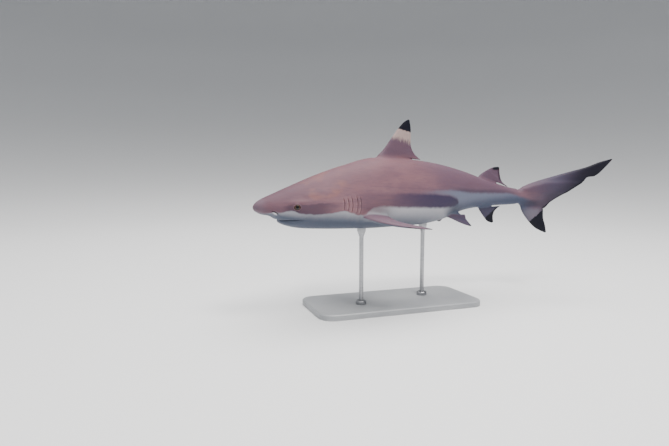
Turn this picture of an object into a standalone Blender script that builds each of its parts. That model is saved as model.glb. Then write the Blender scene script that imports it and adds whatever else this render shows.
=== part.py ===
"""A life-size still model of a blacktip reef shark, swimming, on a plain display stand.

Metres, +Z up. The snout points to -X, the shark's left side faces -Y, and the origin is the middle
of the stand base's underside. Body measures are per cent of total length, as fish are measured:
a place along the curved backbone from the snout tip, a distance out from it, and a height above
the snout tip.
"""

import math

import bmesh
import bpy
import numpy as np

TOTAL_LENGTH = 1.35
PERCENT = TOTAL_LENGTH / 100
GAP = 0.0003  # clearance between neighbouring pieces
SNOUT_HEIGHT = 0.34  # snout tip above the floor
BALANCE_PLACE = 36.0  # the place along the back that stands over the middle of the base
BACK_STEP = 0.25  # spacing of the points that the backbone is worked out at

# Which way the backbone runs, in degrees from +X towards +Y: the tail sweeps to the shark's left.
HEADINGS = ((0, 4), (22, 14), (42, 9.5), (60, 1), (75, -13.5), (100, -26))

# Cross-sections: place, top, bottom, half width, height of the widest line, fullness above, below.
SECTIONS = (
    (0.0, 0.0, 0.0, 0.0, 0.0, 2.1, 2.1),
    (1.5, 1.65, -1.35, 2.15, 0.0, 2.1, 2.1),
    (4.0, 2.72, -2.05, 3.35, -0.2, 2.1, 2.2),
    (6.0, 3.50, -3.55, 4.10, -0.4, 2.1, 2.3),
    (9.0, 4.65, -4.50, 4.85, -0.5, 2.1, 2.4),
    (15.0, 6.88, -5.10, 5.85, -0.2, 2.0, 2.4),
    (22.0, 8.90, -5.50, 6.50, 0.5, 1.95, 2.3),
    (31.0, 10.70, -5.85, 7.00, 1.6, 1.9, 2.2),
    (42.0, 10.25, -5.80, 6.65, 1.8, 1.9, 2.1),
    (50.0, 9.20, -4.95, 5.55, 1.8, 1.9, 2.0),
    (58.0, 7.30, -2.60, 3.80, 2.0, 1.9, 1.9),
    (66.0, 4.70, -1.70, 2.40, 1.4, 1.9, 1.9),
    (74.7, 2.70, -1.20, 1.40, 0.75, 2.0, 2.0),
    (78.0, 3.60, -0.45, 0.90, 1.60, 2.0, 2.0),
    (81.0, 4.30, 1.60, 0.30, 3.00, 2.0, 2.0),
)
RING_POINTS = 32
NOSE_END = 0.012  # the nose ends in a small round face here
NOSE_CROWDING = 1.7  # how much closer together the cross-sections are toward the nose
PAST_BODY = 9.0  # how far cutters reach past what they cut
SHARP_ANGLE = 40  # faces meeting at more than this keep a crisp edge

# The body's lengths, each cut square across the backbone: start, end and number of cross-sections.
BODY_LENGTHS = (
    ("head", 0.0, 16.8, 12),
    ("gill_region", 16.8, 23.6, 4),
    ("trunk_front", 23.6, 46.0, 10),
    ("trunk_rear", 46.0, 60.5, 7),
    ("tail_stock", 60.5, 81.0, 11),
)

# Lower jaw: the places of its front, the mouth corners and its back, and its half widths. The
# snout overhangs it, with a flat roof that rises a little from the front to the corners.
JAW_FRONT, JAW_CORNER, JAW_BACK = 5.3, 9.6, 12.8
JAW_CORNER_HALF, JAW_BACK_HALF = 4.5, 3.6
MOUTH_FRONT, MOUTH_CORNER = -2.25, -2.10
SNOUT_END = 4.2  # the snout's underside is whole as far as this
JAW_STEPS = 9  # points along each side of the jaw's arch

EYE_PLACE, EYE_HEIGHT = 7.95, 0.1
EYE_RADIUS = 0.0140
EYE_PROUD = 0.0026  # how far the eyeball stands out of the head
EYE_SEGMENTS, EYE_RINGS = 14, 9

# Gill slits: place, height of the middle, and length.
GILLS = ((18.0, 0.48, 2.8), (19.0, 0.33, 3.0), (19.95, 0.30, 3.5), (21.2, 0.25, 3.9), (22.1, 0.0, 4.0))
GILL_WIDTH, GILL_DEPTH = 0.20, 0.45
GILL_STEPS = 10  # sides of each slit's rounded outline

# Fins: points of the leading edge from the front of the base to the tip, and of the rear edge from
# the back of the base, round the free rear tip, to the tip. Median fins give place and height.
FIRST_DORSAL = {
    "front": (
        (30.4, 9.6), (31.6, 11.1), (33.1, 12.5), (35.8, 15.6), (37.5, 17.6), (39.3, 19.3), (40.6, 19.95),
    ),
    "rear": (
        (41.4, 9.4), (41.8, 10.55), (44.3, 10.25), (42.2, 12.1), (41.35, 14.3), (41.35, 17.2),
        (40.95, 19.75),
    ),
    "thick": 1.15,
}
SECOND_DORSAL = {
    "front": ((62.0, 5.6), (63.2, 6.65), (65.0, 7.7), (66.6, 8.35), (68.2, 8.55)),
    "rear": ((67.0, 3.6), (67.8, 4.45), (71.0, 3.3), (69.4, 4.7), (68.8, 6.3), (68.55, 8.35)),
    "thick": 0.62,
}
ANAL = {
    "front": ((62.2, -1.4), (62.9, -2.6), (64.3, -4.5), (65.5, -5.8), (66.8, -6.3)),
    "rear": ((66.2, -1.0), (66.7, -2.0), (69.0, -1.85), (67.6, -3.1), (67.1, -4.6), (67.25, -6.1)),
    "thick": 0.6,
}
CAUDAL_SPLIT = ((75.9, 0.2), (81.15, -2.56))  # where the lobes part, from the tail to the fork
SPLIT_PLACES = (73.0, 76.0, 79.0, 82.0, 84.0)  # points along that line, from end to end
SPLIT_HALF_WIDTH = 3.0
CAUDAL_UPPER = {
    "front": (
        (74.0, 2.0), (75.2, 3.1), (77.5, 4.15), (82.8, 5.8), (88.1, 7.3), (92.4, 8.5), (95.7, 9.8),
        (98.7, 10.65),
    ),
    "rear": (
        (75.6, -0.6), (81.15, -2.6), (83.1, -0.9), (88.3, 2.35), (91.8, 4.8), (92.6, 5.7), (94.6, 6.1),
        (97.5, 8.8), (98.9, 10.5),
    ),
    "thick": 1.7,
}
CAUDAL_LOWER = {
    "front": ((74.0, -0.9), (74.7, -1.6), (75.3, -3.2), (77.2, -5.9), (79.3, -7.9), (82.0, -9.2)),
    "rear": ((76.4, 1.0), (81.15, -2.5), (81.35, -5.2), (81.9, -7.0), (82.3, -9.0)),
    "thick": 1.1,
}

# Paired fins lie nearly in a plane: points are distances tailward and outward from the front of the
# base. The tip curls up, and the back of the base is lifted, by so much.
PECTORAL = {
    "front": ((-0.1, -1.6), (0.0, 0.0), (1.2, 3.0), (3.3, 6.8), (6.4, 10.2), (9.8, 12.95)),
    "rear": ((5.0, -1.6), (5.6, 0.3), (7.9, 1.3), (7.8, 3.8), (8.3, 7.2), (9.5, 10.4), (10.2, 12.75)),
    "thick": 1.25,
    "at": (22.4, 5.2, -2.25),
    "droop": 12.0,
    "pitch": 4.0,
    "curl": 1.2,
    "root_lift": 0.3,
}
PELVIC = {
    "front": ((-0.1, -1.4), (0.0, 0.0), (1.5, 1.9), (3.3, 3.5), (4.7, 4.25)),
    "rear": ((3.9, -1.4), (4.1, 0.0), (5.5, 0.2), (5.1, 1.9), (5.15, 4.1)),
    "thick": 0.6,
    "at": (50.6, 3.1, -3.6),
    "droop": 36.0,
    "pitch": 1.0,
    "curl": 0.0,
    "root_lift": 0.3,
}
FIN_ROWS, FIN_COLUMNS = 13, 7
FIN_EDGE = 0.0007  # thickness of a fin's edges
FIN_SHARP_ANGLE = 60
FIN_FULL_WIDTH = 0.87  # a fin is at full thickness where it is at least this part of its greatest width
ROOT_SPAN = 0.4  # the part of a paired fin's reach over which the back of its base is lifted

STAND_BASE = (0.56, 0.26, 0.018)  # length, width and thickness
BASE_CORNER = 0.045
BASE_CHAMFER = 0.003
BASE_ARC_STEPS = 8  # in each rounded corner
ROD_PLACES = (("front", 27.0), ("rear", 45.5))
ROD_RADIUS, CUP_RADIUS = 0.007, 0.014
CUP_HEIGHT, CUP_BODY = 0.016, 0.020
COLLAR_RADIUS, COLLAR_HEIGHT = 0.017, 0.012
TURN_STEPS = 20  # sides of a turned piece

# Colours are linear RGB: colour, roughness, metallic.
FINISHES = {
    "upper_skin": ((0.19, 0.14, 0.13), 0.5, 0.0),
    "pale_skin": ((0.50, 0.48, 0.46), 0.5, 0.0),
    "fin_skin": ((0.16, 0.12, 0.12), 0.5, 0.0),
    "eye": ((0.10, 0.08, 0.05), 0.1, 0.0),
    "grey_paint": ((0.55, 0.55, 0.54), 0.45, 0.0),
    "steel": ((0.60, 0.60, 0.61), 0.3, 1.0),
}


def smooth(places, values, at):
    """A curve through the points that makes no humps between them (monotone cubic)."""
    x, y = np.asarray(places, float), np.asarray(values, float)
    step = np.diff(x)
    slope = np.diff(y) / step
    tangent = np.concatenate([slope[:1], (slope[1:] + slope[:-1]) / 2, slope[-1:]])
    for i in range(1, len(x) - 1):
        if slope[i - 1] * slope[i] <= 0:
            tangent[i] = 0.0
        else:
            limit = 3 * min(abs(slope[i - 1]), abs(slope[i]))
            tangent[i] = math.copysign(min(abs(tangent[i]), limit), tangent[i])
    at = np.clip(at, x[0], x[-1])
    i = np.clip(np.searchsorted(x, at) - 1, 0, len(x) - 2)
    t = (at - x[i]) / step[i]
    return (
        (1 + 2 * t) * (1 - t) ** 2 * y[i]
        + t * (1 - t) ** 2 * step[i] * tangent[i]
        + t * t * (3 - 2 * t) * y[i + 1]
        + t * t * (t - 1) * step[i] * tangent[i + 1]
    )


def backbone():
    """Evenly spaced places, the heading at each in radians, and the path in per cent."""
    places = np.arange(0, 101, BACK_STEP)
    table = np.array(HEADINGS, float)
    heading = np.radians(smooth(table[:, 0], table[:, 1], places))
    step = BACK_STEP * np.stack([np.cos(heading), np.sin(heading)], axis=1)
    path = np.concatenate([[[0, 0]], np.cumsum((step[1:] + step[:-1]) / 2, axis=0)])
    middle = [np.interp(BALANCE_PLACE, places, path[:, k]) for k in (0, 1)]
    return places, heading, path - middle


PLACES, BACK_HEADING, BACK_PATH = backbone()


def body_point(place, out, height):
    """World position of a point given on the body; out is positive on the shark's left."""
    heading = np.interp(place, PLACES, BACK_HEADING)
    x = np.interp(place, PLACES, BACK_PATH[:, 0]) + out * np.sin(heading)
    y = np.interp(place, PLACES, BACK_PATH[:, 1]) - out * np.cos(heading)
    return np.stack([x * PERCENT, y * PERCENT, height * PERCENT + SNOUT_HEIGHT], axis=-1)


def section(place, grow=0.0):
    """Top, bottom, half width, widest height and fullness at a place. The nose is rounded."""
    table = np.array(SECTIONS)
    along = np.sqrt(table[:, 0])
    top, bottom, half, level, above, below = (
        smooth(along, table[:, k], math.sqrt(place)) for k in range(1, 7)
    )
    return top + grow, bottom - grow, half + grow, level, above, below


def ring(place, grow=0.0):
    """The points of one cross-section, from the shark's left over its back."""
    top, bottom, half, level, above, below = section(place, grow)
    angle = 2 * math.pi * np.arange(RING_POINTS) / RING_POINTS
    fullness = np.where(np.sin(angle) >= 0, above, below)
    out = half * np.sign(np.cos(angle)) * np.abs(np.cos(angle)) ** (2 / fullness)
    rise = np.abs(np.sin(angle)) ** (2 / fullness)
    height = np.where(np.sin(angle) >= 0, level + (top - level) * rise, level - (level - bottom) * rise)
    return body_point(np.full(RING_POINTS, place), out, height)


def half_width_at(place, height):
    """How far out the skin is at a height."""
    top, bottom, half, level, above, below = section(place)
    if height >= level:
        return half * (1 - ((height - level) / (top - level)) ** above) ** (1 / above)
    return half * (1 - ((level - height) / (level - bottom)) ** below) ** (1 / below)


def finish(name):
    """The material of that name, made once."""
    if name in bpy.data.materials:
        return bpy.data.materials[name]
    colour, roughness, metallic = FINISHES[name]
    material = bpy.data.materials.new(name)
    material.use_nodes = True
    shader = material.node_tree.nodes["Principled BSDF"]
    shader.inputs["Base Color"].default_value = (*colour, 1.0)
    shader.inputs["Roughness"].default_value = roughness
    shader.inputs["Metallic"].default_value = metallic
    return material


def new_object(name, mesh_tools, finish_name, sharp_angle=SHARP_ANGLE):
    """An object from a bmesh, closed and facing out, smooth where its faces nearly line up."""
    bmesh.ops.recalc_face_normals(mesh_tools, faces=mesh_tools.faces)
    mesh = bpy.data.meshes.new(name)
    mesh_tools.to_mesh(mesh)
    mesh_tools.free()
    mesh.shade_smooth()
    mesh.set_sharp_from_angle(angle=math.radians(sharp_angle))
    mesh.materials.append(finish(finish_name))
    obj = bpy.data.objects.new(name, mesh)
    bpy.context.scene.collection.objects.link(obj)
    return obj


def hide(obj):
    obj.hide_render = True
    obj.display_type = "WIRE"
    return obj


def boolean(obj, cutter, operation="DIFFERENCE"):
    modifier = obj.modifiers.new(cutter.name, "BOOLEAN")
    modifier.operation = operation
    modifier.solver = "EXACT"
    modifier.object = cutter


def skin_rings(mesh_tools, rings):
    """Faces between rings of points in turn, with a flat face over each end."""
    loops = [[mesh_tools.verts.new(point) for point in points] for points in rings]
    for a, b in zip(loops[:-1], loops[1:]):
        for i in range(len(a)):
            j = (i + 1) % len(a)
            if len(set(map(id, (a[i], a[j], b[j], b[i])))) == 4:
                mesh_tools.faces.new((a[i], a[j], b[j], b[i]))
    for loop in (loops[0], loops[-1]):
        mesh_tools.faces.new(loop)


def rows_of(length):
    """The cross-sections of one length of the body, closer together where the nose rounds."""
    _, start, end, count = length
    if start == 0:
        return [end * (i / count) ** NOSE_CROWDING for i in range(1, count + 1)]
    return [start + (end - start) * i / count for i in range(count + 1)]


def body_length(length):
    """One length of the body. The nose ends in a small round face."""
    name, start, end, _ = length
    rows = rows_of(length)
    half_gap = GAP / 2 / PERCENT
    if start == 0:
        rows = [NOSE_END] + rows
    else:
        rows[0] += half_gap
    if end < BODY_LENGTHS[-1][2]:
        rows[-1] -= half_gap
    mesh_tools = bmesh.new()
    skin_rings(mesh_tools, [ring(place) for place in rows])
    return new_object(name, mesh_tools, "upper_skin")


def body_cutter():
    """The whole body, larger all round by the gap, for cutting what meets it."""
    rows = sorted({place for length in BODY_LENGTHS for place in rows_of(length)})
    rows[-1] += GAP / PERCENT
    mesh_tools = bmesh.new()
    skin_rings(mesh_tools, [ring(place, GAP / PERCENT) for place in rows])
    return hide(new_object("body_cutter", mesh_tools, "upper_skin"))


def mouth_height(place):
    rise = (MOUTH_CORNER - MOUTH_FRONT) / (JAW_CORNER - JAW_FRONT)
    return MOUTH_FRONT + rise * (place - JAW_FRONT)


def block_below_mouth(name, left_half, grow):
    """A block from the mouth's height down, from one side of its outline seen from below."""
    outline = left_half + [(place, -out) for place, out in reversed(left_half) if out]
    mesh_tools = bmesh.new()
    roof = [body_point(place, out, mouth_height(place) + grow) for place, out in outline]
    floor = [body_point(place, out, -PAST_BODY) for place, out in outline]
    skin_rings(mesh_tools, [roof, floor])
    return hide(new_object(name, mesh_tools, "pale_skin"))


def add_lower_jaw(head):
    """Parts the lower jaw, an arch seen from below, and opens the head round it to its sides."""
    jaw = body_length(BODY_LENGTHS[0])
    jaw.name = "lower_jaw"
    jaw.data.materials[0] = finish("pale_skin")
    reach = JAW_CORNER - JAW_FRONT
    arch = [
        (JAW_FRONT + reach * (i / JAW_STEPS) ** 2, JAW_CORNER_HALF * i / JAW_STEPS)
        for i in range(JAW_STEPS + 1)
    ]
    boolean(jaw, block_below_mouth("jaw_outline", arch + [(JAW_BACK, JAW_BACK_HALF)], 0.0), "INTERSECT")
    grow = GAP / PERCENT
    opening = [
        (SNOUT_END, 0),
        (SNOUT_END, PAST_BODY),
        (JAW_CORNER + grow, PAST_BODY),
        (JAW_CORNER + grow, JAW_CORNER_HALF + grow),
        (JAW_BACK + grow, JAW_BACK_HALF + grow),
    ]
    boolean(head, block_below_mouth("jaw_opening", opening, grow))


def ball(name, centre, radius, finish_name):
    mesh_tools = bmesh.new()
    bmesh.ops.create_uvsphere(mesh_tools, u_segments=EYE_SEGMENTS, v_segments=EYE_RINGS, radius=radius)
    obj = new_object(name, mesh_tools, finish_name)
    obj.location = centre
    return obj


def add_eyes(head):
    """An eyeball on each side, in a socket, with its front just proud of the head."""
    skin = half_width_at(EYE_PLACE, EYE_HEIGHT)
    for side, name in ((1, "left"), (-1, "right")):
        out = skin - (EYE_RADIUS - EYE_PROUD) / PERCENT
        centre = body_point(EYE_PLACE, side * out, EYE_HEIGHT)
        ball("eye_" + name, centre, EYE_RADIUS, "eye")
        boolean(head, hide(ball("socket_" + name, centre, EYE_RADIUS + GAP, "eye")))


def cut_gills(region):
    """Five upright slits in each side."""
    mesh_tools = bmesh.new()
    turn = [2 * math.pi * i / GILL_STEPS for i in range(GILL_STEPS)]
    for place, middle, tall in GILLS:
        skin = half_width_at(place, middle)
        outline = [(place + GILL_WIDTH / 2 * math.cos(a), middle + tall / 2 * math.sin(a)) for a in turn]
        for side in (1, -1):
            depths = (side * (skin - GILL_DEPTH), side * PAST_BODY)
            skin_rings(mesh_tools, [[body_point(p, out, h) for p, h in outline] for out in depths])
    boolean(region, hide(new_object("gill_cutters", mesh_tools, "upper_skin")))


def along_edge(points, count):
    """Points evenly spaced along a smooth curve through the given ones."""
    points = np.array(points, float)
    lengths = np.concatenate([[0], np.cumsum(np.linalg.norm(np.diff(points, axis=0), axis=1))])
    at = np.linspace(0, lengths[-1], count)
    return np.stack([smooth(lengths, points[:, 0], at), smooth(lengths, points[:, 1], at)], axis=1)


def wing_thickness(across):
    """The half thickness of a fin across its width, largest near 30% back, as a part of the whole."""
    return 5 * (
        0.2969 * np.sqrt(across)
        - 0.1260 * across
        - 0.3516 * across**2
        + 0.2843 * across**3
        - 0.1036 * across**4
    )


def fin_blade(name, fin, to_world):
    """A blade between a fin's front and rear edges. to_world takes (u, v, thickness) in per cent."""
    front = along_edge(fin["front"], FIN_ROWS)
    rear = along_edge(fin["rear"], FIN_ROWS)
    across = 0.5 - 0.5 * np.cos(np.linspace(0, math.pi, FIN_COLUMNS))
    edge = FIN_EDGE / 2 / PERCENT
    widest = np.linalg.norm(rear - front, axis=1).max()
    sides = []
    for sign in (1, -1):
        rows = []
        for a, b in zip(front, rear):
            width = np.linalg.norm(b - a)
            half = fin["thick"] * min(1.0, width / widest / FIN_FULL_WIDTH) * wing_thickness(across)
            points = a + (b - a) * across[:, None]
            rows.append(to_world(points[:, 0], points[:, 1], sign * np.maximum(half, edge)))
        sides.append(rows)
    mesh_tools = bmesh.new()
    grids = [[[mesh_tools.verts.new(p) for p in row] for row in rows] for rows in sides]
    for grid in grids:
        for upper, lower in zip(grid[:-1], grid[1:]):
            for i in range(FIN_COLUMNS - 1):
                mesh_tools.faces.new((upper[i], upper[i + 1], lower[i + 1], lower[i]))
    left, right = grids
    rim = [(row, 0) for row in range(FIN_ROWS)]
    rim += [(FIN_ROWS - 1, column) for column in range(1, FIN_COLUMNS)]
    rim += [(row, FIN_COLUMNS - 1) for row in range(FIN_ROWS - 2, -1, -1)]
    rim += [(0, column) for column in range(FIN_COLUMNS - 2, 0, -1)]
    for (r1, c1), (r2, c2) in zip(rim, rim[1:] + rim[:1]):
        mesh_tools.faces.new((left[r1][c1], left[r2][c2], right[r2][c2], right[r1][c1]))
    return new_object(name, mesh_tools, "fin_skin", FIN_SHARP_ANGLE)


def beside_split(name, sign):
    """A block over all that is above (1) or below (-1) the line where the tail fin's lobes part."""
    (p1, h1), (p2, h2) = CAUDAL_SPLIT
    slope = (h2 - h1) / (p2 - p1)
    shift = -sign * GAP / 2 / PERCENT
    near = [(place, h1 + slope * (place - p1) + shift) for place in SPLIT_PLACES]
    far = h1 + sign * PAST_BODY
    outline = near + [(SPLIT_PLACES[-1], far), (SPLIT_PLACES[0], far)]
    mesh_tools = bmesh.new()
    widths = (-SPLIT_HALF_WIDTH, SPLIT_HALF_WIDTH)
    ends = [[body_point(place, out, height) for place, height in outline] for out in widths]
    skin_rings(mesh_tools, ends)
    return hide(new_object(name, mesh_tools, "fin_skin"))


def median_fin(name, fin, cutter):
    """A fin in the body's middle plane, with its root cut to the body."""
    blade = fin_blade(name, fin, lambda place, height, out: body_point(place, out, height))
    boolean(blade, cutter)
    return blade


def paired_fin(name, fin, side, cutter):
    """A fin that springs from the flank in a flat plane, drooping outward, its front edge raised."""
    place, out, height = fin["at"]
    root = body_point(place, side * out, height)
    heading = np.interp(place, PLACES, BACK_HEADING)
    droop, pitch = math.radians(fin["droop"]), math.radians(fin["pitch"])
    tailward = np.array([math.cos(heading), math.sin(heading), 0.0])
    sideways = side * np.array([math.sin(heading), -math.cos(heading), 0.0])
    up = np.array([0.0, 0.0, 1.0])
    span = sideways * math.cos(droop) - up * math.sin(droop)
    lift = sideways * math.sin(droop) + up * math.cos(droop)
    chord = tailward * math.cos(pitch) - lift * math.sin(pitch)
    normal = tailward * math.sin(pitch) + lift * math.cos(pitch)

    def to_world(u, v, w):
        reach = v / fin["front"][-1][1]
        at_root = np.clip(1 - reach / ROOT_SPAN, 0, 1) ** 2 * np.clip(u / fin["rear"][1][0], 0, 1)
        w = w + fin["curl"] * reach**2 + fin["root_lift"] * at_root
        return root + PERCENT * (u[:, None] * chord + v[:, None] * span + w[:, None] * normal)

    blade = fin_blade(name, fin, to_world)
    boolean(blade, cutter)
    return blade


def turned(name, profile, centre, finish_name):
    """A piece turned about an upright axis from (radius, height) points; closed where radius is 0."""
    mesh_tools = bmesh.new()
    turn = [2 * math.pi * i / TURN_STEPS for i in range(TURN_STEPS)]
    loops = []
    for radius, height in profile:
        points = [(radius * math.cos(a), radius * math.sin(a), height) for a in turn]
        loops.append([mesh_tools.verts.new(p) for p in (points if radius else points[:1])])
    ring_closed = profile[0][0] > 0
    pairs = list(zip(loops[:-1], loops[1:])) + ([(loops[-1], loops[0])] if ring_closed else [])
    for a, b in pairs:
        for i in range(TURN_STEPS):
            j = (i + 1) % TURN_STEPS
            corners = [a[i % len(a)], a[j % len(a)], b[j % len(b)], b[i % len(b)]]
            mesh_tools.faces.new(list(dict.fromkeys(corners)))
    obj = new_object(name, mesh_tools, finish_name)
    obj.location = centre
    return obj


def add_stand(cutter):
    """A flat base and two rods whose cups fit the belly."""
    length, width, thick = STAND_BASE
    corners = []
    for quarter, (sx, sy) in enumerate(((1, 1), (-1, 1), (-1, -1), (1, -1))):
        for i in range(BASE_ARC_STEPS + 1):
            a = math.pi / 2 * (quarter + i / BASE_ARC_STEPS)
            corners.append((sx * (length / 2 - BASE_CORNER), sy * (width / 2 - BASE_CORNER), a))
    rings = []
    edge = ((BASE_CORNER, 0.0), (BASE_CORNER, thick - BASE_CHAMFER), (BASE_CORNER - BASE_CHAMFER, thick))
    for radius, height in edge:
        rings.append([(x + radius * math.cos(a), y + radius * math.sin(a), height) for x, y, a in corners])
    mesh_tools = bmesh.new()
    skin_rings(mesh_tools, rings)
    new_object("stand_base", mesh_tools, "grey_paint")
    for name, place in ROD_PLACES:
        x, y, belly = body_point(place, 0.0, section(place)[1])
        rod_top = belly - thick - GAP
        rod = (
            (0, 0),
            (ROD_RADIUS, 0),
            (ROD_RADIUS, rod_top - CUP_BODY - CUP_HEIGHT / 2),
            (CUP_RADIUS, rod_top - CUP_HEIGHT / 2),
            (CUP_RADIUS, rod_top + CUP_HEIGHT / 2),
            (0, rod_top + CUP_HEIGHT / 2),
        )
        boolean(turned("stand_rod_" + name, rod, (x, y, thick + GAP), "steel"), cutter)
        hole = ROD_RADIUS + GAP
        collar = (
            (hole, 0),
            (COLLAR_RADIUS, 0),
            (COLLAR_RADIUS, COLLAR_HEIGHT - BASE_CHAMFER),
            (COLLAR_RADIUS - BASE_CHAMFER, COLLAR_HEIGHT),
            (hole, COLLAR_HEIGHT),
        )
        turned("stand_collar_" + name, collar, (x, y, thick + GAP), "steel")


def main():
    for obj in list(bpy.data.objects):
        bpy.data.objects.remove(obj)
    lengths = {length[0]: body_length(length) for length in BODY_LENGTHS}
    cutter = body_cutter()
    add_lower_jaw(lengths["head"])
    add_eyes(lengths["head"])
    cut_gills(lengths["gill_region"])
    median_fin("first_dorsal_fin", FIRST_DORSAL, cutter)
    median_fin("second_dorsal_fin", SECOND_DORSAL, cutter)
    median_fin("anal_fin", ANAL, cutter)
    upper = median_fin("caudal_fin_upper", CAUDAL_UPPER, cutter)
    boolean(upper, beside_split("below_split", -1))
    lower = median_fin("caudal_fin_lower", CAUDAL_LOWER, cutter)
    boolean(lower, beside_split("above_split", 1))
    for side, name in ((1, "left"), (-1, "right")):
        paired_fin("pectoral_fin_" + name, PECTORAL, side, cutter)
        paired_fin("pelvic_fin_" + name, PELVIC, side, cutter)
    add_stand(cutter)


main()
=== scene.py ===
import math

import bmesh
import bpy
import numpy as np
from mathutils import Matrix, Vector
from mathutils.kdtree import KDTree


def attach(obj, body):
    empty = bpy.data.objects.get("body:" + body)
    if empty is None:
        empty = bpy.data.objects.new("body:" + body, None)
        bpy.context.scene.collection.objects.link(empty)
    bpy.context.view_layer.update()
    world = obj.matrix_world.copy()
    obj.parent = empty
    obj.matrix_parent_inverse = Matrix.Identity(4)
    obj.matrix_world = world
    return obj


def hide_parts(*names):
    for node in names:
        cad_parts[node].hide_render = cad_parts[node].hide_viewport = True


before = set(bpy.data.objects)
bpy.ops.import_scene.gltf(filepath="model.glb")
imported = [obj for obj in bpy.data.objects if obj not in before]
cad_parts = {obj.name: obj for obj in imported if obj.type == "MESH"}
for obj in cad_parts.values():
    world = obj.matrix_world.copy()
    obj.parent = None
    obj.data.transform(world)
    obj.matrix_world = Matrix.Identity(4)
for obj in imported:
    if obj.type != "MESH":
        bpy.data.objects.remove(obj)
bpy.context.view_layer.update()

# Body measures are per cent of total length: place along the curved back from the snout tip,
# out from it (positive on the shark's left), and level above the snout tip.
swim = {
    "totalLength": 1.35,
    "snoutHeight": 0.34,  # snout tip above the floor
    "balancePlace": 36.0,  # stands over the middle of the base
    # place, then the way the back runs there, in degrees from +X towards +Y
    "headings": ((0, 4), (22, 14), (42, 9.5), (60, 1), (75, -13.5), (100, -26)),
}
percent = swim["totalLength"] / 100

body = {
    # place, top, bottom, half width, level of the widest line, fullness above and below it
    "sections": (
        (0.0, 0.0, 0.0, 0.0, 0.0, 2.1, 2.1),
        (1.5, 1.65, -1.35, 2.15, 0.0, 2.1, 2.1),
        (4.0, 2.72, -2.05, 3.35, -0.2, 2.1, 2.2),
        (6.0, 3.50, -3.55, 4.10, -0.4, 2.1, 2.3),
        (9.0, 4.65, -4.50, 4.85, -0.5, 2.1, 2.4),
        (15.0, 6.88, -5.10, 5.85, -0.2, 2.0, 2.4),
        (22.0, 8.90, -5.50, 6.50, 0.5, 1.95, 2.3),
        (31.0, 10.70, -5.85, 7.00, 1.6, 1.9, 2.2),
        (42.0, 10.25, -5.80, 6.65, 1.8, 1.9, 2.1),
        (50.0, 9.20, -4.95, 5.55, 1.8, 1.9, 2.0),
        (58.0, 7.30, -2.60, 3.80, 2.0, 1.9, 1.9),
        (66.0, 4.70, -1.70, 2.40, 1.4, 1.9, 1.9),
        (74.7, 2.70, -1.20, 1.40, 0.75, 2.0, 2.0),
        (78.0, 3.60, -0.45, 0.90, 1.60, 2.0, 2.0),
        (81.0, 4.30, 1.60, 0.30, 3.00, 2.0, 2.0),
    ),
    # spacing of the rings: up to this place, this far apart
    "ringSteps": ((5.15, 0.14), (6.6, 0.055), (12.0, 0.14), (24.0, 0.2), (60.0, 0.55), (81.0, 0.36)),
    "ringPoints": 144,
    "noseEnd": 0.03,
}

mouth = {
    "front": 5.3,  # places of the front of the jaw's arch and of its corners
    "corner": 9.6,
    "cornerHalf": 4.5,
    "frontLevel": -2.58,
    "cornerLevel": -2.54,
    "lipRound": 0.42,
    "cleft": (0.17, 0.08),  # radius of the groove between the lips, in front and at the corners
    "closed": (10.3, 12.0),  # behind the corners the mouth fades into the cheek
}

eye = {
    "place": 7.95,
    "level": 0.1,
    "radius": 0.0164,
    "proud": 0.0029,  # how far the ball stands out of the head
    "opening": (0.66, 0.52),  # half length and half height of the opening between the lids
    "socketDepth": 0.6,
    "lidThick": 0.0006,
    "lidBlend": 0.10,
    "foldDepth": 0.055,  # the fold round the lids
    "browHeight": 0.11,
    "browSlope": 0.04,
    "browShadowLine": (0.66, 6.2, 9.8),  # a painted shadow line over the eye, under the brow: its height, and where it starts and ends
    "fleck": (10.1, 0.42),  # place and level of a pale fleck behind the eye
    "clearance": 0.00015,
    "turn": (1.0, 1.0, 0.4),  # how fully it follows the head's slope forward, outward and upward
    "pupil": (0.29, 0.38),  # half width and half height over the ball's radius
}

nostril = {
    "ends": ((3.2, -0.60), (4.5, -1.42)),  # place and level of its two ends
    "bow": 0.16,
    "radius": 0.09,
    "depth": 0.36,
    "flap": 0.24,
}

gills = {
    # place, level of the middle, and length of each slit
    "slits": (
        (18.0, 0.48, 2.8), (19.0, 0.33, 3.0), (19.95, 0.30, 3.5), (21.2, 0.25, 3.9), (22.1, 0.0, 4.0),
    ),
    "bow": 0.26,  # how far the ends of a slit sweep forward
    "depth": 0.30,
    "width": 0.06,
    "flap": 0.15,  # how far the skin ahead of a slit stands over it
    "flapLength": 0.40,
}

forms = {
    # height, then place and level of the middle, each with its spread: cheek, then temple
    "swells": ((0.16, 12.6, 2.2, -1.7, 1.3), (-0.10, 10.6, 1.7, 1.5, 0.8)),
    "furrow": ((9.7, 4.62, -2.1), (10.5, 4.75, -1.95)),
    "furrowDepth": 0.14,
    "furrowWidth": 0.13,
    # depth, place and its spread, and the levels where a notch starts and is full: top, then bottom
    "notches": ((0.30, 74.0, 0.35, 1.6, 2.5), (0.16, 73.8, 0.3, -0.4, -1.1)),
}

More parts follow.
